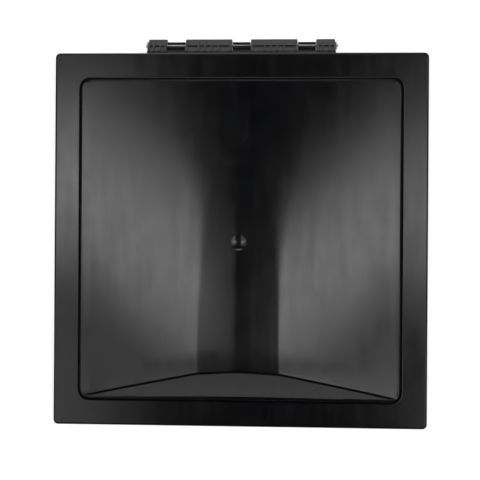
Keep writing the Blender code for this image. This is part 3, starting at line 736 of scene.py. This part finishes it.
def front_pad(cover):
    """The plain raised pad with three level grip ribs on the front border."""
    top = sizes().border_height
    middle = LID_Y - HALF_DEPTH + PAD_PLACE
    pad = slab("pad", PAD_HALF_WIDTH, PAD_HALF_DEPTH, PAD_HALF_DEPTH / 2, top - OVERLAP,
               top + PAD_HEIGHT)
    rounded_edges(pad, top + PAD_HEIGHT, PAD_HEIGHT / 2, 3)
    reshape(pad, lambda place: Vector((place.x, place.y - LID_Y + middle, place.z)))
    combine(cover, pad, 'UNION')
    for step in (-GRIP_STEP, 0.0, GRIP_STEP):
        rib = block("rib", (-GRIP_HALF_WIDTH, middle + step - 0.7 * MM, top),
                    (GRIP_HALF_WIDTH, middle + step + 0.7 * MM, top + GRIP_HEIGHT))
        combine(cover, rounded(rib, 0.35 * MM, segments=3), 'UNION')


SEAL_IN = 23.5 * MM       # from the lid's outer face to the inner rim rib
SEAL_GAP = 11 * MM        # between the two rim ribs, where the foam lies
RIM_RIB_WIDTH = 2 * MM
RIM_RIB_DEPTH = 5.5 * MM
RIM_RIB_CORNER = 6 * MM


class VENTLID_OT_cover(bpy.types.Operator):
    """Mould the cover: skirt, border, panel, vault, ribs and bosses"""
    bl_idname = "ventlid.cover"
    bl_label = "Cover"

    def execute(self, context):
        s = sizes()
        cover = cover_form("cover", 0.0)
        combine(cover, cover_form("hollow", s.wall), 'DIFFERENCE')
        ceiling = s.border_height - s.wall
        seal = HALF_WIDTH - SEAL_IN
        ribs = [ring("rim_rib", inner, inner + RIM_RIB_WIDTH, RIM_RIB_CORNER,
                     ceiling - RIM_RIB_DEPTH, ceiling + OVERLAP)
                for inner in (seal - RIM_RIB_WIDTH, seal + SEAL_GAP)]
        for rib in ribs + under_ribs():
            combine(cover, rib, 'UNION')
        for hole in cover_holes():
            combine(cover, hole, 'DIFFERENCE')
        ridge_dish(cover)
        front_pad(cover)
        outward(cover)
        smoothed(cover, angle=32)
        finished(cover, gloss_polypropylene(), "lid", "lid_gloss", "lid_shell")
        return {'FINISHED'}


LEAVES = ((-100 * MM, -80 * MM, 2), (-60 * MM, -10 * MM, 4),
          (10 * MM, 60 * MM, 4), (80 * MM, 100 * MM, 2))
SLOPE_TOP = (REAR_FACE + 0.6 * MM, 26.5 * MM)
SLOPE_END = (REAR_FACE + 18.7 * MM, 8.5 * MM)


def slope_strip(first, last, height):
    """Side view of a rib lying on the knuckles' slope between two distances down it."""
    start = Vector(SLOPE_TOP)
    along = (Vector(SLOPE_END) - start).normalized()
    up = Vector((-along.y, along.x))
    return [start + along * down + up * rise for down, rise in
            ((first, -OVERLAP), (last, -OVERLAP), (last, height), (first, height))]


class VENTLID_OT_hinge(bpy.types.Operator):
    """Mould the hinge strip: web, four knuckles and their ribs"""
    bl_idname = "ventlid.hinge"
    bl_label = "Hinge strip"

    def execute(self, context):
        strip = block("hinge_leaves", (LEAVES[0][0] + PLAY, REAR_FACE + PLAY, 11 * MM),
                      (LEAVES[-1][1] - PLAY, REAR_FACE + PLAY + 2.5 * MM, 25 * MM))
        outline = [SLOPE_TOP, SLOPE_END, (SLOPE_END[0], 5.6 * MM),
                   (SLOPE_END[0] - 1.6 * MM, 4 * MM), (ROD_Y - 5 * MM, 4 * MM),
                   (SLOPE_TOP[0], 9.4 * MM)]
        length = (Vector(SLOPE_END) - Vector(SLOPE_TOP)).length
        upright = slope_strip(1.6 * MM, length - 3.2 * MM, 1.2 * MM)
        level = slope_strip(length * 0.48, length * 0.48 + 1.6 * MM, 0.96 * MM)
        for low, high, count in LEAVES:
            knuckle = rounded(profile("knuckle", outline, "YZ", low, high), 0.5 * MM)
            combine(strip, knuckle, 'UNION')
            middle = (low + high) / 2
            places = [middle + (i - (count - 1) / 2) * 7 * MM for i in range(count)]
            for x in places + [low + 1.6 * MM, high - 1.6 * MM]:
                rib = profile("rib", upright, "YZ", x - 0.8 * MM, x + 0.8 * MM)
                combine(strip, rounded(rib, 0.3 * MM), 'UNION')
            bar = profile("bar", level, "YZ", low + 1.6 * MM, high - 1.6 * MM)
            combine(strip, rounded(bar, 0.25 * MM), 'UNION')
        combine(strip, drum("bore", ROD_RADIUS + PLAY, (0, ROD_Y, ROD_Z), 0.3, axis='X'),
                'DIFFERENCE')
        for x in HINGE_SCREWS:
            combine(strip, drum("hole", SCREW_HOLE, (x, REAR_FACE + 2.95 * MM, HINGE_SCREW_Z),
                                7.9 * MM, axis='Y', sides=24), 'DIFFERENCE')
        outward(strip)
        smoothed(strip)
        finished(strip, matte_nylon("glass_filled_nylon", 0.9, "#2C2D30"),
                 "lid", "hinge_matte", "hinge_strip")
        return {'FINISHED'}


class VENTLID_OT_rod(bpy.types.Operator):
    """Draw the hinge rod and press the push nuts onto its ends"""
    bl_idname = "ventlid.rod"
    bl_label = "Rod and push nuts"

    def execute(self, context):
        span = ROD_HIGH.x - ROD_LOW.x
        rod = drum("rod", ROD_RADIUS, (0, ROD_Y, ROD_Z), span, axis='X', sides=64)
        rounded(rod, 0.35 * MM, segments=4)
        finished(rod, drawn_steel(), "lid", "rod_steel", "hinge_rod")
        steel = zinc_plate("zinc_plated_spring_steel", "#8E8F8C", "#C3C4C0", 2.5, 0.25, 0.42)
        for side, node in ((-1, "push_nut_left"), (1, "push_nut_right")):
            low, high = (Vector(corner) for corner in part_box(node))
            middle = (low + high) / 2
            thick = high.x - low.x
            nut = drum(node.replace("push_nut", "nut"), (high.z - low.z) / 2, middle, thick,
                       axis='X', sides=64)
            pick(nut, 'FACE', lambda face: face.normal.x * side > 0.9)
            bpy.ops.mesh.inset(thickness=1.1 * MM)
            bpy.ops.mesh.extrude_region_move(
                TRANSFORM_OT_translate={"value": (-side * 0.45 * MM, 0, 0)})
            bpy.ops.object.mode_set(mode='OBJECT')
            combine(nut, drum("bore", ROD_RADIUS + PLAY, middle, 6 * MM, axis='X'),
                    'DIFFERENCE')
            for turn in range(3):
                slit = block("slit", (middle.x - 2 * MM, -0.25 * MM, ROD_RADIUS - 0.2 * MM),
                             (middle.x + 2 * MM, 0.25 * MM, 3.1 * MM))
                spin = Matrix.Rotation(turn * math.tau / 3, 4, 'X')
                centre = Vector((0, ROD_Y, ROD_Z))
                reshape(slit, lambda place: spin @ place + centre)
                combine(nut, slit, 'DIFFERENCE')
            rounded(nut, 0.12 * MM)
            finished(nut, steel, "lid", "nut_steel", node)
        return {'FINISHED'}


def arc(middle, radius, first, last, steps):
    """Points along an arc in the YZ plane, in degrees from +Y."""
    return [(middle[0] + radius * math.cos(math.radians(first + (last - first) * i / steps)),
             middle[1] + radius * math.sin(math.radians(first + (last - first) * i / steps)))
            for i in range(steps + 1)]


HOOK_WALL = 2.05 * MM


class VENTLID_OT_slide(bpy.types.Operator):
    """Mould the vent-side slide: a slotted spine with hooks round the rod"""
    bl_idname = "ventlid.slide"
    bl_label = "Slide"

    def execute(self, context):
        low, high = (Vector(corner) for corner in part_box("base_slide"))
        face = REAR_FACE + 2.4 * MM
        slide = rounded(block("slide", (low.x, low.y, 0), (high.x, face, 5 * MM)), 0.4 * MM)
        inner, outer = ROD_RADIUS + PLAY, ROD_RADIUS + PLAY + HOOK_WALL
        rod = (ROD_Y, ROD_Z)
        outline = ([(face - MM, 0.5 * MM), (ROD_Y + outer * 0.6, 0.5 * MM)]
                   + arc(rod, outer, -45, 42, 10) + arc(rod, inner, 42, -222, 30)
                   + arc(rod, outer, 138, 165, 3)
                   + [(face + MM, ROD_Z - OVERLAP), (face + MM, 4.5 * MM),
                      (face - MM, 4.5 * MM)])
        for first, last in zip(LEAVES, LEAVES[1:]):
            hook = profile("hook", outline, "YZ", first[1] + 0.5 * MM, last[0] - 0.5 * MM)
            combine(slide, rounded(hook, 0.25 * MM), 'UNION')
        combine(slide, block("slot", (low.x - MM, low.y - MM, 1.6 * MM),
                             (high.x + MM, REAR_FACE - 4 * MM, 3.3 * MM)), 'DIFFERENCE')
        for side in (-1, 1):
            combine(slide, drum("hole", SCREW_HOLE, (side * LOCK_SCREW_X, REAR_FACE - 9 * MM, 0),
                                20 * MM, sides=32), 'DIFFERENCE')
        outward(slide)
        smoothed(slide)
        finished(slide, matte_nylon("moulded_nylon_slide", 1.1, "#2A2B2E"),
                 "vent_side", "slide_matte", "base_slide")
        return {'FINISHED'}


class VENTLID_OT_track(bpy.types.Operator):
    """Fold the lift track from plated sheet steel and pierce its screw holes"""
    bl_idname = "ventlid.track"
    bl_label = "Lift track"

    def execute(self, context):
        low, high = (Vector(corner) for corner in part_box("lift_track"))
        sheet, lip = 1.2 * MM, 8 * MM
        side, floor, roof = high.x - sheet, low.z + sheet, high.z - sheet
        outline = [(-high.x, low.z), (-lip, low.z), (-lip, floor), (-side, floor),
                   (-side, roof), (side, roof), (side, floor), (lip, floor), (lip, low.z),
                   (high.x, low.z), (high.x, high.z), (-high.x, high.z)]
        track = profile("track", outline, "XZ", low.y, high.y)
        rounded(track, 0.45 * MM, segments=3)
        for step in TRACK_SCREW_STEPS:
            combine(track, drum("hole", SCREW_HOLE, (0, LID_Y + step, high.z), 4 * MM, sides=32),
                    'DIFFERENCE')
        outward(track)
        smoothed(track)
        finished(track, zinc_plate("zinc_plated_pressed_steel", "#8D9093", "#C4C7CA",
                                   6.0, 0.22, 0.45), "lid", "track_steel", "lift_track")
        return {'FINISHED'}


def pan_screw(name, axis, under_head, length, direction):
    """A pan-head screw with a cross recess and rolled threads, along Y or Z."""
    deselect()
    shank = drum(name, 1.45 * MM, (0, 0, length / 2), length, sides=24)
    pick(shank, 'EDGE', lambda edge: all(v.co.z > length - 0.1 * MM for v in edge.verts))
    bpy.ops.mesh.bevel(offset=0.9 * MM, segments=3, affect='EDGES')
    bpy.ops.object.mode_set(mode='OBJECT')
    pitch = 0.9 * MM
    for turn in range(max(int((length - 2 * MM) / pitch), 1)):
        groove = drum("groove", 2.2 * MM, (0, 0, MM + turn * pitch), 0.28 * MM, sides=24)
        core = drum("core", 1.2 * MM, (0, 0, MM + turn * pitch), MM, sides=24)
        combine(shank, combine(groove, core, 'DIFFERENCE'), 'DIFFERENCE')
    head = drum("head", 3.4 * MM, (0, 0, -SCREW_HEAD / 2), SCREW_HEAD, sides=48)
    pick(head, 'EDGE', lambda edge: all(v.co.z < -1.9 * MM for v in edge.verts))
    bpy.ops.mesh.bevel(offset=0.9 * MM, segments=5, affect='EDGES')
    bpy.ops.object.mode_set(mode='OBJECT')
    for half_x, half_y in ((2.0 * MM, 0.35 * MM), (0.35 * MM, 2.0 * MM)):
        combine(head, block("cross", (-half_x, -half_y, -2.5 * MM),
                            (half_x, half_y, -0.9 * MM)), 'DIFFERENCE')
    combine(shank, head, 'UNION')
    turns = {('Y', 1): Matrix.Rotation(-math.pi / 2, 4, 'X'), ('Z', 1): Matrix.Identity(4),
             ('Z', -1): Matrix.Rotation(math.pi, 4, 'X')}
    stand = Matrix.Translation(under_head) @ turns[axis, direction]
    reshape(shank, lambda place: stand @ place)
    outward(shank)
    return smoothed(shank)


class VENTLID_OT_screws(bpy.types.Operator):
    """Roll the hinge, track and lock screws"""
    bl_idname = "ventlid.screws"
    bl_label = "Screws"

    def execute(self, context):
        steel = zinc_plate("zinc_plated_screw_steel", "#9A9B99", "#CFCFCB", 1.5, 0.2, 0.36)
        made = []
        for number, x in enumerate(HINGE_SCREWS, 1):
            node = "hinge_screw_%d" % number
            low, high = (Vector(corner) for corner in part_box(node))
            made.append((node, 'Y', 1, (x, low.y + SCREW_HEAD, HINGE_SCREW_Z),
                         high.y - low.y - SCREW_HEAD, "lid"))
        for number, step in enumerate(TRACK_SCREW_STEPS, 1):
            node = "track_screw_%d" % number
            low, high = (Vector(corner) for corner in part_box(node))
            made.append((node, 'Z', 1, (0, LID_Y + step, low.z + SCREW_HEAD),
                         high.z - low.z - SCREW_HEAD, "lid"))
        for side, node in ((-1, "lock_screw_left"), (1, "lock_screw_right")):
            low, high = (Vector(corner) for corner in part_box(node))
            made.append((node, 'Z', -1,
                         (side * LOCK_SCREW_X, (low.y + high.y) / 2, high.z - SCREW_HEAD),
                         high.z - low.z - SCREW_HEAD, "vent_side"))
        for node, axis, direction, place, length, body in made:
            piece = pan_screw(node.replace("screw", "fixing"), axis, place, length, direction)
            finished(piece, steel, body, "screw_steel", node)
        return {'FINISHED'}


FOAM_STEPS = 24           # stretches that each strip is cut into


class VENTLID_OT_seals(bpy.types.Operator):
    """Cut the four foam seal strips"""
    bl_idname = "ventlid.seals"
    bl_label = "Seals"

    def execute(self, context):
        foam = seal_foam()
        for side in ("front", "rear", "left", "right"):
            low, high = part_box("seal_" + side)
            strip = block("foam_" + side, low, high)
            long_axis = 0 if high[0] - low[0] > high[1] - low[1] else 1
            normal = Vector((1, 0, 0)) if long_axis == 0 else Vector((0, 1, 0))
            for step in range(1, FOAM_STEPS):
                place = Vector(low).lerp(Vector(high), step / FOAM_STEPS)
                pick(strip, 'FACE', lambda face: True)
                bpy.ops.mesh.bisect(plane_co=place, plane_no=normal)
            bpy.ops.object.mode_set(mode='OBJECT')
            pick(strip, 'EDGE', lambda edge: edge.calc_face_angle(0) > math.radians(60))
            bpy.ops.mesh.bevel(offset=0.9 * MM, segments=4, affect='EDGES')
            bpy.ops.object.mode_set(mode='OBJECT')
            smoothed(strip)
            finished(strip, foam, "lid", "seal_foam", "seal_" + side)
        return {'FINISHED'}


def glow(name, strength, fades):
    """A soft box's cloth: brightest in the middle, fading to its edges."""
    made = bpy.data.materials.new(name)
    made.use_nodes = True
    tree = made.node_tree
    tree.nodes.clear()
    place = add(tree, "ShaderNodeTexCoord").outputs["UV"]
    centred = add(tree, "ShaderNodeMapping", {"Location": (-0.5, -0.5, 0)}, {"Vector": place})
    parts = add(tree, "ShaderNodeSeparateXYZ", {}, {0: centred.outputs[0]})
    out = None
    for axis, fade in zip(("X", "Y"), fades):
        side = add(tree, "ShaderNodeMath", {"operation": 'ABSOLUTE'}, {0: parts.outputs[axis]})
        edge = add(tree, "ShaderNodeMapRange",
                   {"interpolation_type": 'SMOOTHERSTEP', "From Min": 0.5 * (1 - fade),
                    "From Max": 0.5, "To Min": 1.0, "To Max": 0.0},
                   {"Value": side.outputs[0]}).outputs["Result"]
        out = edge if out is None else add(tree, "ShaderNodeMath", {"operation": 'MULTIPLY'},
                                           {0: out, 1: edge}).outputs[0]
    power = add(tree, "ShaderNodeMath", {"operation": 'MULTIPLY', 1: strength}, {0: out})
    light = add(tree, "ShaderNodeEmission", {}, {"Strength": power.outputs[0]})
    tree.links.new(light.outputs[0],
                   add(tree, "ShaderNodeOutputMaterial").inputs["Surface"])
    return made


LONG_BOX_Z = 1.85
SHORT_BOX_Z = 1.75
LENS = 65.72
CAMERA_PLACE = (0.0392, -0.0094, 0.95)
CAMERA_TURN = (0.0024, 2.412, 0.372)      # degrees, almost straight down


def soft_box(name, tilt_x, tilt_y, width, length, turn, strength, fade_x, fade_y):
    """A soft box hung over the lid at two angles from straight up, turned about its middle."""
    height = LONG_BOX_Z if name.startswith("long") else SHORT_BOX_Z
    place = Vector((height * math.tan(math.radians(tilt_x)),
                    LID_Y + height * math.tan(math.radians(tilt_y)), height))
    deselect()
    bpy.ops.mesh.primitive_plane_add(size=1, location=place)
    panel = bpy.context.object
    panel.name = name
    panel.scale = (width, length, 1)
    panel.rotation_euler = Euler((0, 0, math.radians(turn)))
    panel.visible_camera = False
    panel.data.materials.append(glow(name + "_cloth", strength, (fade_x, fade_y)))


class VENTLID_OT_stage(bpy.types.Operator):
    """Set the floor, the soft boxes, the room's fill light and the camera"""
    bl_idname = "ventlid.stage"
    bl_label = "Stage"

    def execute(self, context):
        deselect()
        bpy.ops.mesh.primitive_plane_add(size=8, location=(0, 0, -0.2 * MM))
        floor = bpy.context.object
        floor.name = "floor"
        paper, _, shader, _ = finish("white_seamless_paper", "#FFFFFF", 0.95)
        shader.inputs["Emission Color"].default_value = (1, 1, 1, 1)
        shader.inputs["Emission Strength"].default_value = 0.7
        floor.data.materials.append(paper)
        # Each side has a short bright box and a long dim one behind it, for a soft-ended glow
        soft_box("soft_box_left", -24.3, 4.6, 1.02, 0.85, 12, 4.9, 0.38, 1.0)
        soft_box("soft_box_right", 22.5, 2.6, 1.05, 0.85, -8, 4.9, 0.7, 1.0)
        soft_box("long_box_left", -29.6, -3.0, 1.4, 2.6, 0, 1.3, 0.4, 0.4)
        soft_box("long_box_right", 30.5, -5.0, 1.3, 2.4, 0, 2.3, 0.5, 0.4)
        soft_box("soft_box_rear", 0.0, 50.0, 2.6, 0.9, 0, 2.6, 0.5, 0.5)
        world = bpy.data.worlds.new("pale_room")
        world.use_nodes = True
        tree = world.node_tree
        place = add(tree, "ShaderNodeTexCoord").outputs["Generated"]
        height = add(tree, "ShaderNodeSeparateXYZ", {}, {0: place}).outputs["Z"]
        # Pale walls near the floor, a dark ceiling
        tree.links.new(between(tree, height, 0.45, 0.05, 0.0, 0.5),
                       tree.nodes["Background"].inputs["Strength"])
        context.scene.world = world
        context.scene.view_settings.view_transform = 'Standard'
        lens = bpy.data.cameras.new("camera")
        lens.lens = LENS
        lens.sensor_width = 36
        camera = bpy.data.objects.new("camera", lens)
        camera.location = CAMERA_PLACE
        camera.rotation_euler = Euler([math.radians(a) for a in CAMERA_TURN])
        context.scene.collection.objects.link(camera)
        context.scene.camera = camera
        return {'FINISHED'}


class VENTLID_PT_panel(bpy.types.Panel):
    """Sizes, colours and build steps of the vent lid"""
    bl_idname = "VENTLID_PT_panel"
    bl_label = "Roof Vent Lid"
    bl_space_type = 'VIEW_3D'
    bl_region_type = 'UI'
    bl_category = "Vent Lid"

    def draw(self, context):
        for group in (sizes(), colours()):
            for name in group.__annotations__:
                self.layout.prop(group, name)
        for step in STEPS:
            self.layout.operator(step.bl_idname)


STEPS = (VENTLID_OT_cover, VENTLID_OT_hinge, VENTLID_OT_rod, VENTLID_OT_slide,
         VENTLID_OT_track, VENTLID_OT_screws, VENTLID_OT_seals, VENTLID_OT_stage)
CLASSES = (VentLidSizes, VentLidColours, VENTLID_PT_panel) + STEPS


def register():
    """Register the classes and the scene's settings."""
    for item in CLASSES:
        bpy.utils.register_class(item)
    bpy.types.Scene.vent_lid_sizes = bpy.props.PointerProperty(type=VentLidSizes)
    bpy.types.Scene.vent_lid_colours = bpy.props.PointerProperty(type=VentLidColours)


def unregister():
    """Take the settings and classes away again."""
    del bpy.types.Scene.vent_lid_sizes
    del bpy.types.Scene.vent_lid_colours
    for item in reversed(CLASSES):
        bpy.utils.unregister_class(item)


def main():
    register()
    for step in STEPS:
        group, name = step.bl_idname.split(".")
        getattr(getattr(bpy.ops, group), name)()


if __name__ == "__main__":
    main()
